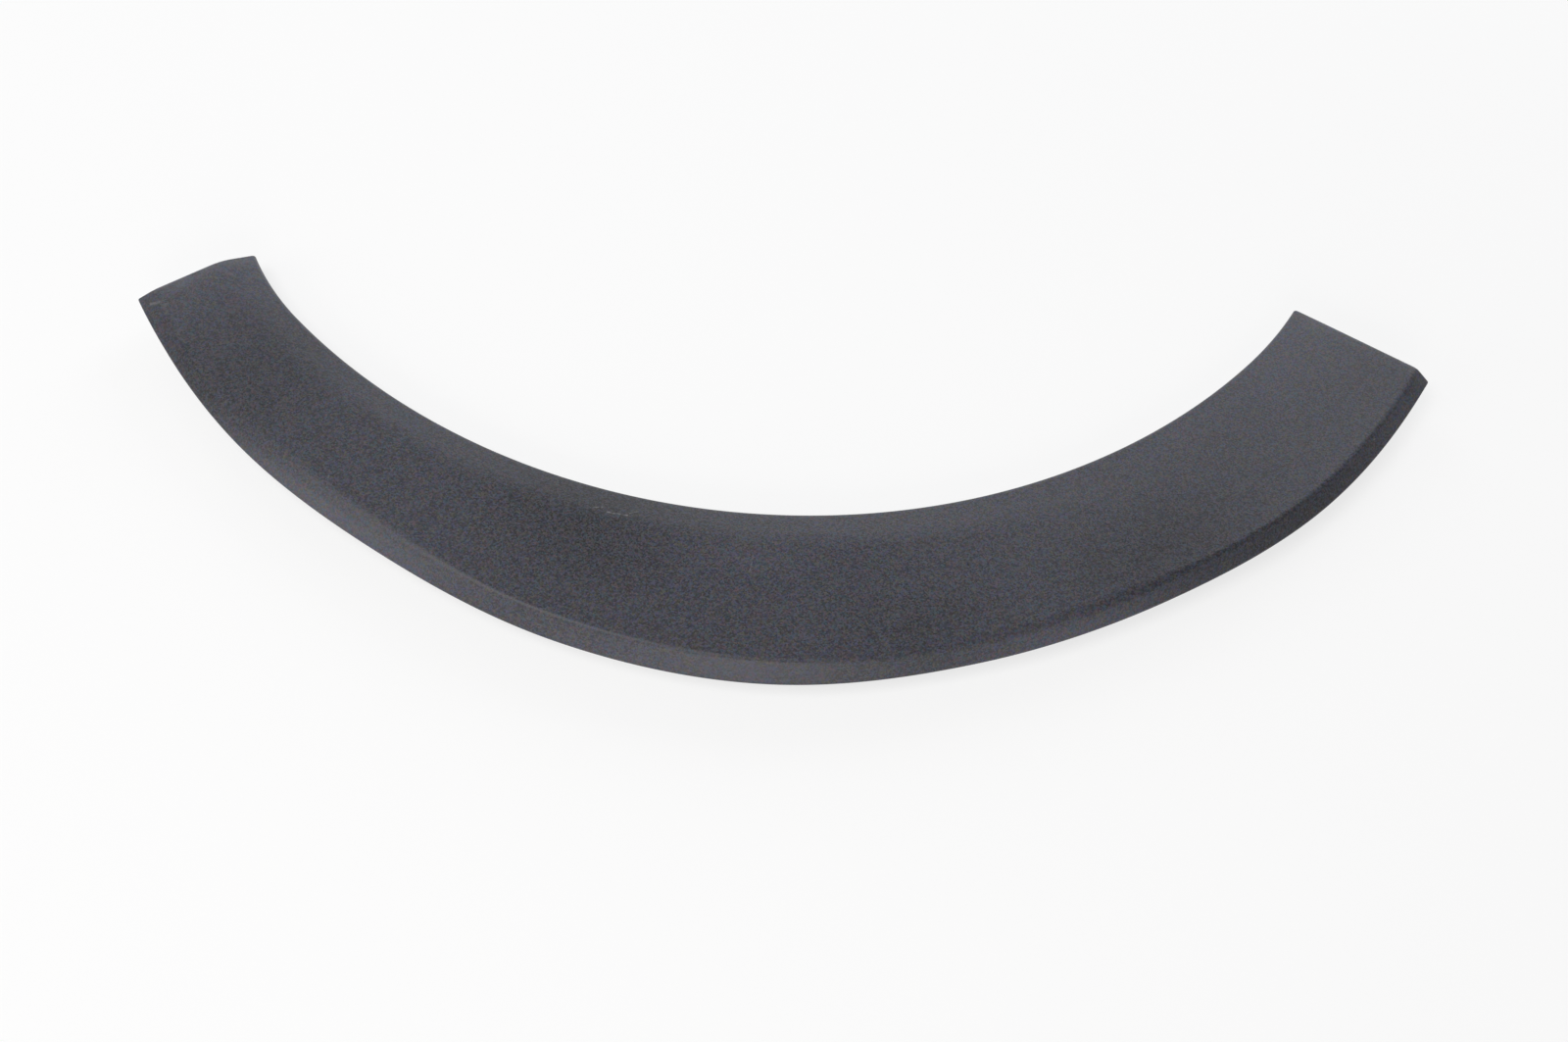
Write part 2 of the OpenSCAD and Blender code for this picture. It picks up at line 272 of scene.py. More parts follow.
class Tree:
    """A node tree while it is built. Each call adds one node and returns its first output."""

    def __init__(self, tree):
        self.tree = tree
        self.links = tree.links

    def feed(self, socket, value):
        if isinstance(value, Field):
            self.links.new(value.socket, socket)
        elif value is not None:
            socket.default_value = value

    def add(self, kind, *inputs, **settings):
        made = self.tree.nodes.new(kind)
        for name, value in settings.items():
            setattr(made, name, value)
        for socket, value in zip([s for s in made.inputs if s.enabled], inputs):
            self.feed(socket, value)
        return made

    def out(self, made, index=0):
        return Field(self, [s for s in made.outputs if s.enabled][index])

    def node(self, kind, *inputs, **settings):
        return self.out(self.add(kind, *inputs, **settings))

    def math(self, operation, *inputs, clamp=False):
        return self.node("ShaderNodeMath", *inputs, operation=operation, use_clamp=clamp)

    def vector(self, operation, *inputs):
        return self.node("ShaderNodeVectorMath", *inputs, operation=operation)

    def xyz(self, x, y, z):
        return self.node("ShaderNodeCombineXYZ", x, y, z)

    def parts(self, vector):
        made = self.add("ShaderNodeSeparateXYZ", vector)
        return [self.out(made, i) for i in range(3)]

    def limit(self, value):
        return self.math("ADD", value, 0, clamp=True)

    def ease(self, value, start, end, low=0.0, high=1.0):
        """A smooth change from low to high as value goes from start to end."""
        return self.node("ShaderNodeMapRange", value, start, end, low, high,
                         interpolation_type="SMOOTHSTEP")

    def within(self, value, stretch):
        """How far a value is inside a stretch, from 0 to 1. The stretch says where it starts, is
        full, starts to end, and has ended."""
        return self.ease(value, *stretch[:2]) - self.ease(value, *stretch[2:])

    def attribute(self, name, kind="FLOAT"):
        return self.node("GeometryNodeInputNamedAttribute", name, data_type=kind)

    def store(self, geometry, name, value):
        return self.node("GeometryNodeStoreNamedAttribute", geometry, None, name, value,
                         data_type="FLOAT", domain="POINT")

    def pick(self, index, values, kind):
        """One of several values, by a whole number."""
        made = self.tree.nodes.new("GeometryNodeIndexSwitch")
        made.data_type = kind
        while len(made.index_switch_items) < len(values):
            made.index_switch_items.new()
        for socket, value in zip(made.inputs, [index, *values]):
            self.feed(socket, value)
        return Field(self, made.outputs[0])


def mix(a, b, t):
    return a + (b - a) * t


def node_group(kind, name, inputs, outputs):
    """An empty node group of a kind. Returns its tree, its inputs as fields, and its exit."""
    group = bpy.data.node_groups.new(name, kind + "NodeTree")
    for way, names in (("INPUT", inputs), ("OUTPUT", outputs)):
        for label, value in names.items():
            group.interface.new_socket(label, in_out=way, socket_type="NodeSocket" + value)
    t = Tree(group)
    entry = group.nodes.new("NodeGroupInput")
    leave = group.nodes.new("NodeGroupOutput")
    return t, [Field(t, socket) for socket in entry.outputs if socket.name], leave


def used(t, group, *values):
    """Adds a group to a tree and returns its outputs as fields."""
    made = t.tree.nodes.new(group.bl_idname.replace("Tree", "Group"))
    made.node_tree = group
    for socket, value in zip(made.inputs, values):
        t.feed(socket, value)
    return [Field(t, socket) for socket in made.outputs]


# The section and its place on the arch, as fields of an angle


def band_width(t, size, angle):
    """Band width at an angle, on a smooth curve through the nine widths."""
    last = len(WIDTHS) - 1
    widths = [2 * size["Width 1"] - size["Width 2"]]
    widths += [size[f"Width {i + 1}"] for i in range(last + 1)]
    widths += [2 * size[f"Width {last + 1}"] - size[f"Width {last}"]]
    across = size["Left End Angle"] + size["Right End Angle"]
    x = t.limit((angle + size["Left End Angle"]) / across) * last
    low = t.math("MINIMUM", t.math("FLOOR", x), last - 1)
    p, q, r, s = [t.pick(low + k, widths, "FLOAT") for k in range(4)]
    f = x - low
    return q + f / 2 * (r - p + f * (2 * p - 5 * q + 4 * r - s + f * (3 * (q - r) + s - p)))


def section_group():
    """The corners of the section at an angle, and how far a corner moves as its sides move
    inwards by one. Each corner is a vector of radius and height."""
    names = ("Angle", *SECTION_SIZES)
    vectors = [f"{kind} {i}" for kind in ("Corner", "Mitre") for i in range(6)]
    results = dict.fromkeys([*vectors, "Down Bevel", "Into Bevel"], "Vector")
    results |= dict.fromkeys(("From End", "Crease", "Foot Height", "Width"), "Float")
    t, fields, leave = node_group(
        "Geometry", "section_on_arch", dict.fromkeys(names, "Float"), results)
    size = dict(zip(names, fields))
    angle = size["Angle"]
    is_left = t.math("LESS_THAN", angle, 0)
    own_end = mix(size["Right End Angle"], size["Left End Angle"], is_left)
    draw_in = mix(size["Right Draw In"], size["Left Draw In"], is_left)
    from_end = own_end - t.math("ABSOLUTE", angle)
    towards_end = t.math("POWER", t.math("ABSOLUTE", angle) / own_end, 2)
    drop = mix(size["Bevel Drop Crown"], size["Bevel Drop End"], towards_end)
    lean = mix(size["Bevel Lean Crown"], size["Bevel Lean End"], towards_end)
    width = band_width(t, size, angle)
    drawn = t.math("POWER", t.limit(1 - from_end / size["Draw In Angle"]), 2)
    edge_r = size["Opening Radius"] - draw_in * drawn
    face_z = size["Flange Depth"] + size["Face Rise"]
    facet_rise = t.ease(angle, *FACET_FADE, size["Facet Rise"], size["Facet Rise Right"])
    foot_r = size["Opening Radius"] + width
    foot_z = face_z - drop
    corners = [
        t.xyz(edge_r + size["Flange Draft"], 0, 0),
        t.xyz(edge_r, 0, size["Flange Depth"]),
        t.xyz(edge_r + size["Facet Width"], 0, size["Flange Depth"] + facet_rise),
        t.xyz(foot_r - lean, 0, face_z),
        t.xyz(foot_r, 0, foot_z + size["Land"]),
        t.xyz(foot_r, 0, foot_z),
    ]
    along = [t.vector("NORMALIZE", b - a) for a, b in zip(corners, corners[1:])]
    inward = [t.vector("CROSS_PRODUCT", (0, 1, 0), side) for side in along]
    mitres = [Vector((1, 0, 0))]
    for m, n in zip(inward, inward[1:]):
        mitres.append((m + n) * (1 / (1 + t.vector("DOT_PRODUCT", m, n))))
    mitres.append(Vector((-1, 0, 0)))
    crisp = size["Crease Reach"]
    crease = crisp + (size["Crease Reach Left"] - crisp) * t.within(angle, SOFT_LEFT)
    crease += (size["Crease Reach Right"] - crisp) * t.within(angle, SOFT_RIGHT)
    found = [*corners, *mitres, along[3], inward[3], from_end, crease, foot_z, width]
    for name, value in zip(results, found):
        t.feed(leave.inputs[name], value)
    return t.tree


def section_rule(t, section, size, angle):
    """The section at an angle, from its group."""
    found = used(t, section, angle, *[size[name] for name in SECTION_SIZES])
    names = ("down_bevel", "into_bevel", "from_end", "crease", "foot_z", "width")
    rule = {"angle": angle, "corners": found[:6], "mitres": found[6:12]}
    return rule | dict(zip(names, found[12:]))


def moved_in(t, rule, depth):
    """The corners of the section with its sides moved inwards."""
    return [
        c + t.node("ShaderNodeVectorMath", m, depth, operation="SCALE")
        for c, m in zip(rule["corners"], rule["mitres"])
    ]


def inner_corners(t, size, rule):
    """The inner skin: at the outer foot it follows the bevel down to the foot's height."""
    corners, wall = rule["corners"], size["Wall"]
    moved = moved_in(t, rule, wall)
    along = rule["down_bevel"]
    start = corners[4] + rule["into_bevel"] * wall
    down = (rule["foot_z"] - t.parts(start)[2]) / t.parts(along)[2]
    foot = start + along * down
    return [*moved[:4], mix(moved[3], foot, size["Rib Share"]), foot]


def on_arch(t, size, rule, point):
    """A point of the section, set on the arch, with the flare of the left end along the bevel."""
    r, _, z = t.parts(point)
    crease_r = t.parts(rule["corners"][3])[0]
    foot_r = t.parts(rule["corners"][5])[0]
    turn = size["Left Flare"] / size["Opening Radius"]
    flare = t.ease(rule["angle"] + size["Left End Angle"], 0, size["Flare Angle"], 1, 0)
    flare = turn * flare * t.limit((r - crease_r) / (foot_r - crease_r))
    b = t.math("RADIANS", rule["angle"]) - flare
    return t.xyz(r * t.math("SINE", b), -(r * t.math("COSINE", b)), z)


def shell(t, size, rule, blank):
    """The swept moulding with its soft corners and closed ends, from the flat blank."""
    outer = moved_in(t, rule, t.attribute("inset"))
    inner = inner_corners(t, size, rule)
    every = outer + inner
    before = [outer[0], *outer[:5], inner[0], *inner[:5]]
    after = [*outer[1:], outer[5], *inner[1:], inner[5]]
    reach = [
        0, size["Roll Reach"], size["Facet Reach"], rule["crease"], size["Land Reach"], 0,
        0, size["Roll Reach"] / 2, size["Facet Reach"], rule["crease"] - size["Wall"] / 2,
        size["Land Reach"], 0,
    ]
    index = t.attribute("corner", "INT")
    p, q, r = [t.pick(index, values, "VECTOR") for values in (before, every, after)]
    s = t.pick(index, reach, "FLOAT")
    start = q + t.vector("NORMALIZE", p - q) * s
    end = q + t.vector("NORMALIZE", r - q) * s
    f = t.attribute("share")
    point = mix(mix(start, q, f), mix(q, end, f), f)
    # The lower edge of an end wall runs straight from the outer foot to the toe
    pr, _, pz = t.parts(point)
    toe_r, foot = t.parts(inner[0])[0], t.parts(inner[5])
    wall_z = mix(size["End Toe"], foot[2], (pr - toe_r) / (foot[0] - toe_r))
    point = t.xyz(pr, 0, mix(pz, wall_z, t.attribute("end_wall")))
    placed = t.node("GeometryNodeSetPosition", blank, None, on_arch(t, size, rule, point))
    # The first and last rings close on themselves, half way between skin and end wall
    pinched = t.attribute("pinch")
    partner = t.node("GeometryNodeSampleIndex", placed,
                     t.node("GeometryNodeInputPosition"), t.attribute("partner", "INT"),
                     data_type="FLOAT_VECTOR", domain="POINT")
    own = t.node("GeometryNodeInputPosition")
    closed = t.node("GeometryNodeSetPosition", placed, None, mix(own, partner, pinched * 0.5))
    return t.node("GeometryNodeMergeByDistance", closed, None, MERGE_DISTANCE)


def edge_distances(t, size, rule, band):
    """Stores how far each point is past the opening edge, past the crease and from its end. On the
    inner flange, the first of these is minus the depth below the edge."""
    x, y, z = t.parts(t.node("GeometryNodeInputPosition"))
    radius = t.math("SQRT", x * x + y * y)
    opening_r, crease_r = [t.parts(rule["corners"][i])[0] for i in (1, 3)]
    below = t.math("MINIMUM", z - size["Flange Depth"], 0)
    band = t.store(band, "past_opening", radius - opening_r + below)
    band = t.store(band, "past_crease", radius - crease_r)
    return t.store(band, "from_end", t.math("RADIANS", rule["from_end"]) * radius)


# What repeats along the hidden back


def spots(t, count, angle):
    """Points that carry their angle on the arch. angle is a rule of the point's index."""
    line = t.node("GeometryNodeMeshLine", count, (0, 0, 0), (1, 0, 0), mode="OFFSET")
    return t.store(line, "angle", angle)


def seat_place(t, section, size):
    """Radius and height of the seats at the angle of a spot, level on both sides of the crown."""
    angle = t.attribute("angle")
    sides = [section_rule(t, section, size, angle * side) for side in (-1, 1)]
    cores = [moved_in(t, rule, size["Wall"] / 2) for rule in sides]
    middles = [t.parts((core[2] + core[3]) / Vector((2, 2, 2)))[0] for core in cores]
    radius = t.math("MINIMUM", *middles)
    low = size["Flange Depth"] - size["Panel Step"]
    levels = [
        mix(low, rule["foot_z"], (radius - size["Opening Radius"]) / rule["width"])
        for rule in sides
    ]
    return radius, t.math("MINIMUM", *levels) + size["Clip Gap"]


def index_of(t):
    return t.node("GeometryNodeInputIndex")


def spread(t, blank, points, radius, height, turned=0.0):
    """Copies of a blank at points of the arch. Outwards from the arch is -Y in the blank."""
    angle = t.math("RADIANS", t.attribute("angle"))
    place = t.xyz(radius * t.math("SINE", angle), -(radius * t.math("COSINE", angle)), height)
    placed = t.node("GeometryNodeSetPosition", points, None, place)
    made = t.add("GeometryNodeInstanceOnPoints", placed)
    t.feed(made.inputs["Instance"], blank)
    t.feed(made.inputs["Rotation"], t.xyz(0, 0, angle + turned))
    return t.node("GeometryNodeRealizeInstances", t.out(made))


def lift_to_face(t, geometry, core):
    """Raises the points marked "grow" into the wall of the face."""
    x, y, _ = t.parts(t.node("GeometryNodeInputPosition"))
    r = t.math("SQRT", x * x + y * y)
    (r2, _, z2), (r3, _, z3) = t.parts(core[2]), t.parts(core[3])
    top = t.xyz(x, y, mix(z2, z3, (r - r2) / (r3 - r2)))
    grow = t.math("GREATER_THAN", t.attribute("grow"), 0.5)
    return t.node("GeometryNodeSetPosition", geometry, grow, top)


def moved(t, geometry, x=0.0, z=0.0, turn=(0, 0, 0)):
    return t.node("GeometryNodeTransform", geometry, t.xyz(x, 0, z), turn)


def cylinder(t, radius, length):
    return t.node("GeometryNodeMeshCylinder", ROUND_SIDES, 1, 1, radius, length)


def boolean(t, operation, first, *others):
    made = t.add("GeometryNodeMeshBoolean", operation=operation, solver="MANIFOLD")
    if operation == "DIFFERENCE":
        t.feed(made.inputs[0], first)
    else:
        t.feed(made.inputs[1], first)
    for other in others:
        t.feed(made.inputs[1], other)
    return Field(t, made.outputs[0])


def mark_top(t, geometry, height):
    """Marks the points above a height, which then grow up to the face."""
    z = t.parts(t.node("GeometryNodeInputPosition"))[2]
    return t.store(geometry, "grow", t.math("GREATER_THAN", z, height))


def clip_seats(t, size, core, seat_at):
    """Boxes on the back of the face, open towards the crown, with a keyhole for a clip."""
    long, deep, wall = size["Clip Length"], size["Clip Depth"], size["Clip Wall"]
    tall = 3 * wall
    body = moved(t, t.node("GeometryNodeMeshCube", t.xyz(long, deep, tall)), z=tall / 2)
    room = t.node("GeometryNodeMeshCube", t.xyz(long, deep - 2 * wall, tall))
    room = moved(t, room, x=wall, z=wall + tall / 2)
    hole = cylinder(t, size["Clip Hole Radius"], 4 * wall)
    slot = t.node("GeometryNodeMeshCube", t.xyz(long, size["Clip Slot Width"], 4 * wall))
    slot = moved(t, slot, x=long / 2)
    seat = mark_top(t, boolean(t, "DIFFERENCE", body, room, hole, slot), 2 * wall)
    index = index_of(t)
    pair = t.math("FLOOR", index / 2)
    side = t.math("MODULO", index, 2) * 2 - 1
    last = t.math("MINIMUM", size["Left End Angle"], size["Right End Angle"])
    last = last - size["Clip End Angle"]
    angle = side * last * (2 * pair + 1) / (2 * size["Clip Pairs"] - 1)
    points = spots(t, size["Clip Pairs"] * 2, angle)
    # The open end of a seat looks towards the crown
    turned = t.math("GREATER_THAN", t.attribute("angle"), 0) * math.pi
    return lift_to_face(t, spread(t, seat, points, *seat_at, turned), core)


def pegs(t, size, core, seat_at):
    """Locating pegs on bosses, with tapered tips."""
    r, wall = size["Peg Radius"], size["Clip Wall"]
    shaft_l = size["Peg Length"] - size["Peg Tip"] + wall
    tall = 3 * wall
    boss = moved(t, cylinder(t, size["Boss Radius"], tall), z=tall / 2)
    boss = mark_top(t, boss, 2 * wall)
    shaft = moved(t, cylinder(t, r, shaft_l), z=wall - shaft_l / 2)
    tip = t.node("GeometryNodeMeshCone", ROUND_SIDES, 1, 1, r, r * PEG_TIP_SHARE, size["Peg Tip"])
    tip = moved(t, tip, z=wall - shaft_l, turn=(math.pi, 0, 0))
    side = index_of(t) * 2 - 1
    points = spots(t, 2, side * size["Peg Angle"])
    made = boolean(t, "UNION", shaft, tip)
    bosses = lift_to_face(t, spread(t, boss, points, *seat_at), core)
    return bosses, spread(t, made, points, *seat_at)


def screw_places(t, size, radius, start, length):
    """Cylinders that point outwards through the inner flange."""
    made = moved(t, cylinder(t, radius, length), turn=(math.pi / 2, 0, 0))
    points = spots(t, 3, (index_of(t) - 1) * size["Screw Angle"])
    middle = size["Opening Radius"] + start + length / 2
    return spread(t, made, points, middle, size["Screw Height"])


def ribs(t, size, rule, corners):
    """Thin plates that fill a corner behind the skin, one at each spot along the band."""
    blank = t.node("GeometryNodeMeshCylinder", RIB_CORNERS, 1, 1, 1, 2)
    x, y, z = t.parts(t.node("GeometryNodeInputPosition"))
    turn = t.math("DEGREES", t.math("ARCTAN2", x, y)) / (360 / RIB_CORNERS)
    blank = t.store(blank, "rib_corner", t.math("ROUND", turn + 1))
    blank = t.store(blank, "rib_side", t.math("SIGN", z))
    first = size["Rib End Angle"] - size["Left End Angle"]
    last = size["Right End Angle"] - size["Rib End Angle"]
    angle = mix(first, last, index_of(t) / (size["Rib Count"] - 1))
    made = spread(t, blank, spots(t, size["Rib Count"], angle), 1, 0)
    corner = t.pick(t.attribute("rib_corner"), corners, "VECTOR")
    turned = t.math("RADIANS", rule["angle"])
    aside = t.attribute("rib_side") * size["Rib Thickness"] / 2
    aside = t.xyz(t.math("COSINE", turned), t.math("SINE", turned), 0) * aside
    place = on_arch(t, size, rule, corner) + aside
    return t.node("GeometryNodeSetPosition", made, None, place)


def rib_corners(t, size, core):
    """The three corners of the ribs behind the crease, and of those behind the opening edge."""
    share, width = size["Rib Share"], size["Rib Width"]
    inwards = t.vector("NORMALIZE", core[2] - core[3]) * width
    outwards = t.vector("NORMALIZE", core[2] - core[1]) * width
    return (
        [core[3], core[3] + inwards, mix(core[3], core[4], share)],
        [core[1], mix(core[1], core[0], share), core[1] + outwards],
    )


def arch_places(t, geometry):
    """Stores the angle from the crown and the radius of each point, for the marks on the face."""
    x, y, _ = t.parts(t.node("GeometryNodeInputPosition"))
    geometry = t.store(geometry, "arch_angle", t.math("DEGREES", t.math("ARCTAN2", x, -y)))
    return t.store(geometry, "arch_radius", t.math("SQRT", x * x + y * y))


def fitted(t, size, geometry):
    """The moulding in metres, centred on the origin in plan and inside the box of the CAD part."""
    box = t.add("GeometryNodeBoundBox", geometry)
    low, high = [Field(t, box.outputs[name]) for name in ("Min", "Max")]
    room = t.xyz(size["Box Length"], size["Box Depth"], size["Box Height"]) * (1 - BOX_MARGIN)
    scale = room / (high - low)
    x, y, _ = t.parts(t.vector("MULTIPLY", (low + high) * -0.5, scale))
    return t.node("GeometryNodeTransform", geometry, t.xyz(x, y, 0), (0, 0, 0), scale)


def moulding_tree(material):
    """The whole moulding, from its sizes and the flat blank of its sweep."""
    tree = bpy.data.node_groups.new("wheel_arch_moulding", "GeometryNodeTree")
    face = tree.interface
    face.new_socket("Geometry", in_out="INPUT", socket_type="NodeSocketGeometry")
    for name, value in SIZES.items():
        kind = "NodeSocketInt" if isinstance(value, int) else "NodeSocketFloat"
        face.new_socket(name, in_out="INPUT", socket_type=kind)
    face.new_socket("Geometry", in_out="OUTPUT", socket_type="NodeSocketGeometry")
    t = Tree(tree)
    entry = tree.nodes.new("NodeGroupInput")
    size = {s.name: Field(t, s) for s in entry.outputs if s.name}
    section = section_group()
    rule = section_rule(t, section, size, t.attribute("angle"))
    seat_at = seat_place(t, section, size)
    band = edge_distances(t, size, rule, shell(t, size, rule, size["Geometry"]))
    inner = inner_corners(t, size, rule)
    core = moved_in(t, rule, size["Wall"] / 2)
    core[4] = mix(rule["corners"][5], inner[5], 0.5)
    wall, draft, pad = size["Wall"], size["Flange Draft"], size["Pad Thickness"]
    outer_ribs, edge_ribs = [ribs(t, size, rule, c) for c in rib_corners(t, size, core)]
    pads = screw_places(t, size, size["Pad Radius"], draft + wall / 2, wall / 2 + pad)
    holes = screw_places(t, size, size["Screw Radius"], -BITE, wall + draft + pad + 2 * BITE)
    added = [clip_seats(t, size, core, seat_at), *pegs(t, size, core, seat_at)]
    added += [pads, outer_ribs, edge_ribs]
    whole = boolean(t, "UNION", band, *[t.store(piece, "back", 1.0) for piece in added])
    whole = boolean(t, "DIFFERENCE", whole, holes)
    whole = t.node("GeometryNodeRealizeInstances", fitted(t, size, arch_places(t, whole)))
    whole = t.node("GeometryNodeSetShadeSmooth", whole, None, True, domain="FACE")
    turn = t.node("GeometryNodeInputMeshEdgeAngle")
    sharp = t.math("GREATER_THAN", turn, math.radians(SHARP_ANGLE))
    whole = t.node("GeometryNodeSetShadeSmooth", whole, sharp, False, domain="EDGE")
    whole = t.node("GeometryNodeSetMaterial", whole, None, None)
    whole.socket.node.inputs["Material"].default_value = material
    leave = tree.nodes.new("NodeGroupOutput")
    t.feed(leave.inputs[0], whole)
    return tree


def sweep_blank(material):
    """The flat blank of the sweep: one ring of points for each stretch, with the numbers that
    tell the tree where each point goes."""
    left, right = SIZES["Left End Angle"], SIZES["Right End Angle"]
    per_mm = 180 / math.pi / SIZES["Opening Radius"]
    quarter = [k / END_STEPS * math.pi / 2 for k in range(END_STEPS + 1)]
    side = [(0.0, END_ROUND, 1, 1)]
    side += [(END_ROUND * (1 - math.sin(q)), END_ROUND * (1 - math.cos(q)), 1, 0)
             for q in reversed(quarter)]
    side += [(END_WALL, 0.0, 1, 0), (END_WALL + END_ROUND, 0.0, 0, 0)]
    first = side[-1][0] * per_mm - left
    last = right - side[-1][0] * per_mm
    rows = [(s * per_mm - left, inset, wall, pinch) for s, inset, wall, pinch in side]
    rows += [(first + (last - first) * k / STRETCHES, 0.0, 0, 0) for k in range(1, STRETCHES)]
    rows += [(right - s * per_mm, inset, wall, pinch) for s, inset, wall, pinch in reversed(side)]
    half = [(c, k / n if n else 0.0) for c, n in enumerate(CORNER_STEPS) for k in range(n + 1)]
    # On the inner skin the steps are short where a corner starts and ends, so that the added
    # features stand on evenly shaded faces
    inner_rim = len(CORNER_STEPS)
    inner = [(inner_rim + c, (1 - math.cos(f * math.pi)) / 2, 1) for c, f in reversed(half)]
    ring = [(c, f, 0) for c, f in half] + inner
    count = len(ring)
    faces = []
    for row in range(len(rows) - 1):
        for i in range(count):
            a, b = row * count + i, row * count + (i + 1) % count
            faces.append((a, b, b + count, a + count))
    mesh = bpy.data.meshes.new("sweep_blank")
    points = [(i, row, 0) for row in range(len(rows)) for i in range(count)]
    mesh.from_pydata(points, [], faces)
    mesh.materials.append(material)
    number = {
        "angle": [r[0] for r in rows for _ in ring],
        "inset": [r[1] for r in rows for _ in ring],
        # The lower edge of an end wall leaves the rim of the flange where it is
        "end_wall": [r[2] * p[2] * (p[0] != inner_rim) for r in rows for p in ring],
        "pinch": [r[3] for r in rows for _ in ring],
        "share": [p[1] for _ in rows for p in ring],
        "back": [p[2] for _ in rows for p in ring],
    }
    for name, values in number.items():
        mesh.attributes.new(name, "FLOAT", "POINT").data.foreach_set("value", values)
    whole = {
        "corner": [p[0] for _ in rows for p in ring],
        "partner": [row * count + count - 1 - i for row in range(len(rows)) for i in range(count)],
    }
    for name, values in whole.items():
        mesh.attributes.new(name, "INT", "POINT").data.foreach_set("value", values)
    return mesh


def arch_moulding(material):
    """The moulding as one plain mesh, at its place in the frame."""
    tree = moulding_tree(material)
    maker = bpy.data.objects.new("moulding_maker", sweep_blank(material))
    bpy.context.scene.collection.objects.link(maker)
    modifier = maker.modifiers.new("moulding", "NODES")
    modifier.node_group = tree
    for item in tree.interface.items_tree:
        if item.in_out == "INPUT" and item.name in SIZES:
            modifier[item.identifier] = SIZES[item.name]
    bpy.context.view_layer.update()
    seen = maker.evaluated_get(bpy.context.evaluated_depsgraph_get())
    mesh = bpy.data.meshes.new_from_object(seen)
    mesh.name = "arch_moulding"
    for name in [a.name for a in mesh.attributes if not a.name.startswith(".")]:
        if name not in KEPT_ATTRIBUTES:
            mesh.attributes.remove(mesh.attributes[name])
    piece = bpy.data.objects.new("arch_moulding", mesh)
    bpy.context.scene.collection.objects.link(piece)
    bpy.data.objects.remove(maker)
    return piece


# Materials

# Light scuffs and scratches, as strokes from (angle, radius) to (angle, radius) on the face, with
# their half width in millimetres and their strength
MARKS = {
    "comma_by_left_end": ((-51.1, 436.0), (-50.7, 432.0), 1.2, 0.7),
    "hook_by_left_crease": ((-50.6, 429.8), (-49.4, 432.8), 2.4, 0.2),
    "scuff_at_left_end": ((-51.9, 425.0), (-51.4, 413.0), 5.0, 0.25),
    "scuff_at_left_facet": ((-51.4, 393.5), (-50.2, 388.8), 3.0, 0.25),
    "scuff_by_left_facet": ((-49.4, 395.0), (-48.1, 391.2), 2.0, 0.12),
    "scuff_on_left_crease": ((-48.6, 430.5), (-46.7, 434.7), 2.4, 0.14),
    "scratch_half_way_left": ((-30.4, 438.2), (-30.2, 440.4), 0.5, 0.5),
    "scratches_by_opening": ((-12.1, 392.6), (-11.3, 389.8), 0.6, 0.7),
    "scratch_by_opening": ((-10.8, 392.6), (-9.2, 391.7), 0.6, 1.0),
    "short_scratch_by_opening": ((-9.1, 390.0), (-8.5, 387.0), 0.5, 0.5),
    "scratch_on_crown": ((0.53, 416.5), (0.77, 407.5), 0.4, 0.5),
    "smear_right_of_crown": ((9.9, 447.4), (10.8, 440.0), 2.2, 0.14),
    "scratch_right_of_crown": ((13.3, 412.6), (14.3, 415.6), 0.8, 0.12),
    "tick_low_on_the_right": ((37.1, 444.8), (37.5, 448.8), 0.4, 0.5),
    "speck_on_right_bevel": ((48.9, 457.0), (49.1, 457.6), 0.5, 1.0),
}


# Painted highlights and painted shade, as broad and faint soft spots of tone: the angle of their
# middle, its distance past an edge, how far they reach in degrees and in millimetres, and their
# strength. Those on the face are measured from the opening edge, and those on the bevel from the
# crease.
FACE_PAINTED_LIGHT = {
    "light_left_end": (-52, 20, 6, 80, 0.4),
    "light_facet_by_left_end": (-47, 8, 4, 18, 0.16),
    "painted_shade_low_on_the_left": (-41, 45, 9, 70, -0.22),
    "painted_shade_facet_at_crown": (-10, 8, 30, 18, -0.2),
    "painted_shade_left_of_crown": (-13, 20, 11, 60, -0.27),
    "painted_shade_face_left_of_crown": (-9, 52, 6, 25, -0.13),
    "light_face_at_crown": (1, 33, 7, 16, 0.25),
    "painted_shade_right_of_crown": (12, 75, 9, 30, -0.18),
    "painted_shade_low_on_the_right": (31, 66, 12, 44, -0.33),
    "light_facet_low_on_the_right": (38, 8, 8, 18, 0.2),
    "light_right_end": (56, 0, 17, 60, 0.4),
    "painted_pit_shade_right_of_crown": (16.5, 43.8, 0.15, 1.1, -0.8),
}
# Painted highlights and painted shade on the bevel, measured from the crease
BEVEL_PAINTED_LIGHT = {
    "painted_shade_by_left_end": (-44, 6, 5, 9, -0.15),
    "light_half_way_left": (-29, 6, 14, 9, 0.4),
    "light_left_of_crown": (-9, 6, 8, 6, 0.15),
    "light_at_crown": (-1, 5, 8, 8, 0.18),
    "light_crease_right_of_crown": (18, -1, 11, 6, 0.14),
    "light_right_of_crown": (22.5, 6, 10, 9, 0.5),
    "painted_shade_low_on_the_right": (41, 6, 12, 9, -0.38),
    "light_by_right_end": (54, 6, 7, 9, 0.25),
}


def noise(t, place, per_metre, detail, roughness):
    """Soft noise from 0 to 1, with its grains set by their number in a metre."""
    made = t.add("ShaderNodeTexNoise")
    t.feed(made.inputs["Vector"], place)
    for name, value in (("Scale", per_metre), ("Detail", detail), ("Roughness", roughness)):
        made.inputs[name].default_value = value
    return t.out(made)


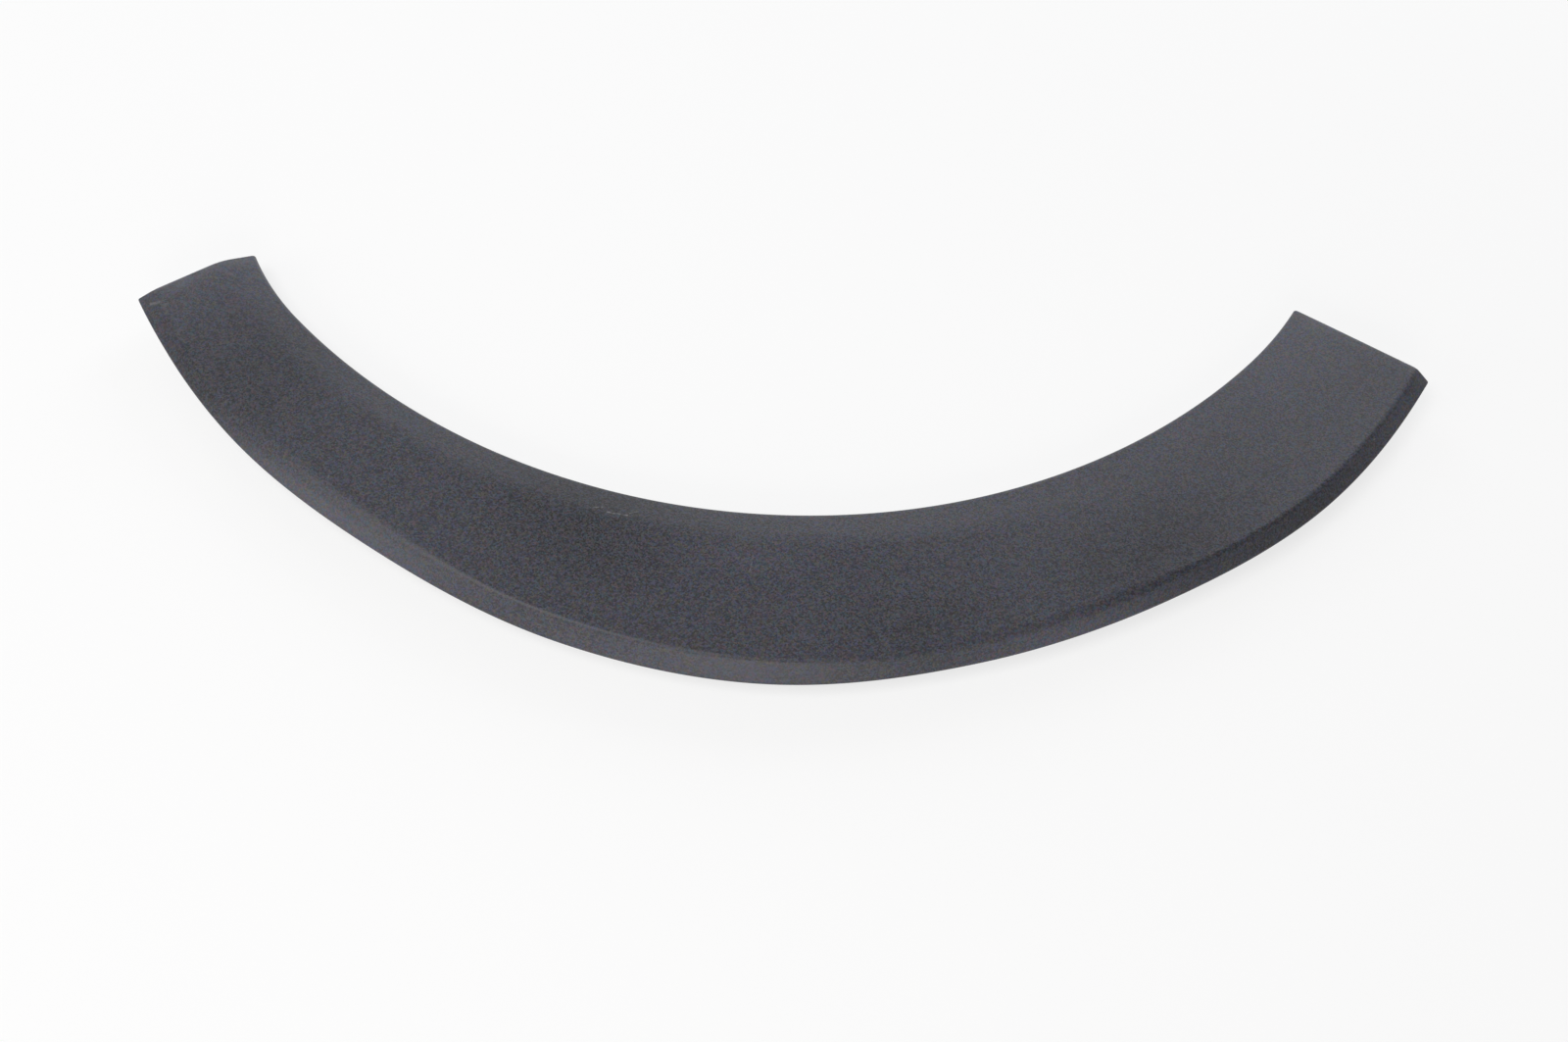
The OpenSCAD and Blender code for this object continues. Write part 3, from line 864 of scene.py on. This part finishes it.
def cells(t, place, per_metre):
    """Two numbers from -1 to 1 for each small cell, with the cells set by their number in a
    metre."""
    made = t.add("ShaderNodeTexVoronoi", feature="F1")
    t.feed(made.inputs["Vector"], place)
    made.inputs["Scale"].default_value = per_metre
    return [number * 2 - 1 for number in t.parts(Field(t, made.outputs["Color"]))[:2]]


def grain_group():
    """The fine moulded grain: its height, its light and dark specks, and its faint tints, which
    are warm or cool, and green or purple."""
    t, (place,), leave = node_group(
        "Shader", "moulded_grain", {"Place": "Vector"},
        {"Height": "Float", "Shade": "Float", "Warm": "Float", "Green": "Float"})
    pebbles = t.add("ShaderNodeTexVoronoi", feature="SMOOTH_F1")
    t.feed(pebbles.inputs["Vector"], place)
    pebbles.inputs["Scale"].default_value = PEBBLES_PER_METRE
    pebbles.inputs["Smoothness"].default_value = PEBBLE_SMOOTHNESS
    fine = noise(t, place, *FINE_NOISE)
    t.feed(leave.inputs["Height"], mix(1 - t.out(pebbles), fine, 0.5))
    shade, _ = cells(t, place, SPECKS_PER_METRE)
    warm, green = cells(t, t.vector("ADD", place, (3, 1, 2)), TINTS_PER_METRE)
    for name, value in (("Shade", shade), ("Warm", warm), ("Green", green)):
        t.feed(leave.inputs[name], value)
    return t.tree


def spot_group():
    """1 at a spot of the arch, and softly down to 0 at its reach."""
    names = ("Angle", "Past", "Middle Angle", "Middle Past", "Reach Angle", "Reach")
    t, fields, leave = node_group(
        "Shader", "spot_on_arch", dict.fromkeys(names, "Float"), {"Mask": "Float"})
    angle, past, a0, p0, reach_a, reach = fields
    along, across = (angle - a0) / reach_a, (past - p0) / reach
    away = t.math("SQRT", along * along + across * across)
    t.feed(leave.inputs["Mask"], t.ease(away, 0, 1, 1, 0))
    return t.tree


def painted_light_spots(t, angle, past_opening, past_crease):
    """All the painted highlights and painted shade together, as one change of level."""
    spot = spot_group()
    total = 0.0
    for named, past in ((FACE_PAINTED_LIGHT, past_opening), (BEVEL_PAINTED_LIGHT, past_crease)):
        for *where, strength in named.values():
            mask, = used(t, spot, angle, past, *where)
            total = mask * strength + total
    return total


def stroke_group():
    """1 on a stroke between two places of the arch, and 0 a little away from it."""
    names = ["Angle", "Radius", "Start Angle", "Start Radius", "End Angle", "End Radius",
             "Half Width", "Ragged"]
    t, fields, leave = node_group(
        "Shader", "stroke_on_arch", dict.fromkeys(names, "Float"), {"Mask": "Float"})
    angle, radius, a0, r0, a1, r1, half, ragged = fields
    along = t.xyz(t.math("RADIANS", angle - a0) * radius, radius - r0, 0)
    whole = t.xyz(t.math("RADIANS", a1 - a0) * radius, r1 - r0, 0)
    share = t.vector("DOT_PRODUCT", along, whole) / t.vector("DOT_PRODUCT", whole, whole)
    away = t.vector("SUBTRACT", along, whole * t.limit(share))
    away = t.math("SQRT", t.vector("DOT_PRODUCT", away, away))
    edge = half * (LEAST_STROKE + ragged)
    t.feed(leave.inputs["Mask"], t.ease(away, 0, edge * STROKE_FADE, 1, 0))
    return t.tree


def edge_group():
    """1 on an edge and 0 at some reach from it, broken up where the edge is less worn. It gives
    the wear and painted highlight by the ends, and the painted highlight on the opening edge.
    """
    names = ("Distance", "Reach", "Ragged")
    t, (distance, reach, ragged), leave = node_group(
        "Shader", "edge_wear_and_highlight", dict.fromkeys(names, "Float"), {"Mask": "Float"})
    near = t.ease(t.math("ABSOLUTE", distance), 0, reach, 1, 0)
    t.feed(leave.inputs["Mask"], near * t.ease(ragged, *WEAR_BREAKS))
    return t.tree


def scuffs(t, place, angle, radius):
    """All the marks on the face, as one mask."""
    ragged = noise(t, place, *SCUFF_NOISE)
    stroke = stroke_group()
    total = 0.0
    for (a0, r0), (a1, r1), half, strength in MARKS.values():
        mask, = used(t, stroke, angle, radius, a0, r0, a1, r1, half, ragged)
        total = t.math("MAXIMUM", mask * strength, total)
    return total * t.ease(ragged, *SCUFF_BREAKS)


def moulded_plastic():
    """Dark grey plastic with a moulded grain, its marks, the wear and painted highlights on its
    rims, and painted highlights and painted shade as soft spots of tone. The back is hidden on the
    car, so it has only a faint grain and the broadest change of tone."""
    material = bpy.data.materials.new("moulded_plastic")
    material.use_nodes = True
    shader = material.node_tree.nodes["Principled BSDF"]
    t = Tree(material.node_tree)
    place = Field(t, t.add("ShaderNodeTexCoord").outputs["Object"])
    height, shade, warm, green = used(t, grain_group(), place)
    angle, radius, back, opening, crease, end = [
        Field(t, t.add("ShaderNodeAttribute", attribute_name=name).outputs["Fac"])
        for name in ("arch_angle", "arch_radius", "back", "past_opening", "past_crease", "from_end")
    ]
    front = 1 - back
    broad = noise(t, place, *BROAD_NOISE) * 2 - 1
    ragged = noise(t, place, *WEAR_NOISE)
    worn = edge_group()
    # Wear and a painted highlight along the ends, and a painted highlight along the rolled opening
    # edge
    end_wear_and_highlight, = used(t, worn, end, END_WEAR_AND_HIGHLIGHT_REACH, ragged)
    opening_highlight, = used(t, worn, opening, OPENING_HIGHLIGHT_REACH, 1.0)
    end_wear_and_highlight = end_wear_and_highlight * mix(RIGHT_END_WEAR_AND_HIGHLIGHT, LEFT_END_WEAR_AND_HIGHLIGHT, t.math("LESS_THAN", angle, 0))
    rims = t.math("MAXIMUM", end_wear_and_highlight, opening_highlight * OPENING_HIGHLIGHT)
    # The scuffs, and the wear and painted highlights on the rims, as one mask
    marks = t.math("MAXIMUM", scuffs(t, place, angle, radius), rims) * front
    # Painted highlights and painted shade from the soft spots of tone on the face and the bevel
    soft = painted_light_spots(t, angle, opening, crease)
    level = 1 + (shade * SPECK_SHARE + soft) * front + broad * BROAD_SHARE
    warm, green = warm * front * WARM_SHARE, green * front * GREEN_SHARE
    colour = t.xyz(level * (1 + warm - green) * PLASTIC[0], level * (1 + green) * PLASTIC[1],
                   level * (1 - warm - green) * PLASTIC[2])
    colour = mix(colour, t.xyz(*SCUFFED_AND_LIT), marks)
    t.feed(shader.inputs["Base Color"], colour)
    rough = mix(BACK_ROUGHNESS, FRONT_ROUGHNESS, front) + shade * front * SPECK_ROUGHNESS
    t.feed(shader.inputs["Roughness"], rough)
    bump = t.add("ShaderNodeBump")
    bump.inputs["Distance"].default_value = GRAIN_HEIGHT
    t.feed(bump.inputs["Strength"], mix(GRAIN_ON_BACK, GRAIN_ON_FRONT, front))
    t.feed(bump.inputs["Height"], height)
    t.feed(shader.inputs["Normal"], Field(t, bump.outputs["Normal"]))
    return material


def under_the_part(t, place, centre):
    """1 on the floor well inside the moulding's outline, where hardly any light comes."""
    x, y, _ = t.parts(t.vector("SUBTRACT", place, (*centre, 0)))
    past = t.math("SQRT", x * x + y * y) * 1000 - SIZES["Opening Radius"]
    angle = t.math("DEGREES", t.math("ARCTAN2", x, -y))
    outer = t.ease(t.math("ABSOLUTE", angle), *DARK_ANGLES, DARK_AT_CROWN, DARK_AT_ENDS)
    left, right = -SIZES["Left End Angle"], SIZES["Right End Angle"]
    across = t.ease(past, *DARK_START) * t.ease(past - outer, 0, DARK_FADE, 1, 0)
    return across * t.within(angle, (left, left + DARK_END_FADE, right - DARK_END_FADE, right))


def floor_material(centre):
    """A white floor. The camera and reflections see it lifted towards plain white, and it keeps
    the part's soft shadow. Far away it is plain white, and under the part it isn't lifted."""
    material = bpy.data.materials.new("white_floor")
    material.use_nodes = True
    nodes, links = material.node_tree.nodes, material.node_tree.links
    shader = nodes["Principled BSDF"]
    shader.inputs["Base Color"].default_value = (FLOOR_WHITE, FLOOR_WHITE, FLOOR_WHITE, 1)
    shader.inputs["Roughness"].default_value = FLOOR_ROUGHNESS
    shader.inputs["Specular IOR Level"].default_value = 0.0
    t = Tree(material.node_tree)
    place = Field(t, t.add("ShaderNodeTexCoord").outputs["Object"])
    away = t.math("SQRT", t.vector("DOT_PRODUCT", place, place))
    lift = t.ease(away, *LIFT_DISTANCES, FLOOR_LIFT, 1) * (1 - under_the_part(t, place, centre))
    ray = t.add("ShaderNodeLightPath")
    seen = Field(t, ray.outputs["Is Camera Ray"])
    for name in ("Is Glossy Ray", "Is Transmission Ray"):
        seen = t.math("MAXIMUM", seen, Field(t, ray.outputs[name]))
    white = nodes.new("ShaderNodeEmission")
    white.inputs["Strength"].default_value = 1.0
    lifted = nodes.new("ShaderNodeMixShader")
    t.feed(lifted.inputs[0], seen * lift)
    links.new(shader.outputs[0], lifted.inputs[1])
    links.new(white.outputs[0], lifted.inputs[2])
    links.new(lifted.outputs[0], nodes["Material Output"].inputs["Surface"])
    return material


# Floor, light and camera


def arch_centre(piece):
    """The centre of the wheel opening in the frame, from a point that knows its own angle and
    radius on the arch."""
    mesh = piece.data
    angle = math.radians(mesh.attributes["arch_angle"].data[0].value)
    radius = mesh.attributes["arch_radius"].data[0].value / 1000
    x, y, _ = mesh.vertices[0].co
    return x - radius * math.sin(angle), y + radius * math.cos(angle)


def make_floor(centre):
    """A wide round floor that curves up at its rim into a low wall."""
    bends = [k / WALL_STEPS * math.pi / 2 for k in range(WALL_STEPS + 1)]
    rings = [(MIDDLE_RADIUS, 0.0)]
    for bend in bends:
        rings.append((FLOOR_RADIUS + WALL_RISE * math.sin(bend), WALL_RISE * (1 - math.cos(bend))))
    turns = [k / FLOOR_SIDES * 2 * math.pi for k in range(FLOOR_SIDES)]
    points = [(r * math.cos(a), r * math.sin(a), z) for r, z in rings for a in turns]
    faces = [tuple(range(FLOOR_SIDES))]
    for low in range(0, len(points) - FLOOR_SIDES, FLOOR_SIDES):
        for i in range(FLOOR_SIDES):
            a, b = low + i, low + (i + 1) % FLOOR_SIDES
            faces.append((a, a + FLOOR_SIDES, b + FLOOR_SIDES, b))
    mesh = bpy.data.meshes.new("floor")
    mesh.from_pydata(points, [], faces)
    mesh.materials.append(floor_material(centre))
    floor = bpy.data.objects.new("floor", mesh)
    bpy.context.scene.collection.objects.link(floor)


def panel(name, side, height, power, tint):
    """A soft square lamp panel that looks at the part. side is in degrees from the camera's side,
    turning to the right, and height is in degrees above the floor."""
    lamp = bpy.data.lights.new(name, "AREA")
    lamp.shape = "SQUARE"
    lamp.size = PANEL_SIZE
    lamp.energy = power
    lamp.color = tint
    a, e = math.radians(side), math.radians(height)
    place = Vector((math.cos(e) * math.sin(a), -math.cos(e) * math.cos(a), math.sin(e)))
    made = bpy.data.objects.new(name, lamp)
    made.location = place * PANEL_DISTANCE
    made.rotation_mode = "QUATERNION"
    made.rotation_quaternion = (-place).to_track_quat("-Z", "Y")
    bpy.context.scene.collection.objects.link(made)


def light_the_scene():
    """A little light from all round, and five soft panels: two in front and one high on the left,
    which are warm or plain, and two behind, which are cool."""
    world = bpy.data.worlds.new("studio")
    world.use_nodes = True
    background = world.node_tree.nodes["Background"]
    background.inputs["Color"].default_value = (1, 1, 1, 1)
    background.inputs["Strength"].default_value = WORLD_LIGHT
    bpy.context.scene.world = world
    warm, plain, cool = (1, 0.97, 0.94), (1, 1, 1), (0.95, 0.97, 1)
    panel("front_panel", 0, 20, 19.8, warm)
    panel("front_left_panel", -60, 20, 10.6, warm)
    panel("high_left_panel", -60, 65, 29.1, plain)
    panel("back_left_panel", 210, 20, 14.6, cool)
    panel("back_right_panel", 150, 20, 25.8, cool)


def set_camera():
    """The photo's view point, worked out from the ellipse of the opening edge."""
    yaw, pitch, roll = CAMERA_TURNS
    ahead = Vector((math.sin(yaw) * math.cos(pitch), math.cos(yaw) * math.cos(pitch),
                    -math.sin(pitch)))
    level = Vector((math.cos(yaw), -math.sin(yaw), 0))
    above = level.cross(ahead)
    right = math.cos(roll) * level + math.sin(roll) * above
    up = math.cos(roll) * above - math.sin(roll) * level
    lens = bpy.data.cameras.new("camera")
    lens.lens, lens.sensor_width, lens.sensor_fit = LENS, SENSOR_WIDTH, "HORIZONTAL"
    lens.clip_start, lens.clip_end = CAMERA_REACH
    camera = bpy.data.objects.new("camera", lens)
    axes = Matrix((right, up, -ahead)).transposed()
    camera.matrix_world = Matrix.Translation(CAMERA_PLACE) @ axes.to_4x4()
    bpy.context.scene.collection.objects.link(camera)
    bpy.context.scene.camera = camera


moulding = arch_moulding(moulded_plastic())
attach(moulding, "root")
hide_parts("arch_trim")

make_floor(arch_centre(moulding))
light_the_scene()
set_camera()
bpy.context.scene.view_settings.view_transform = "Standard"
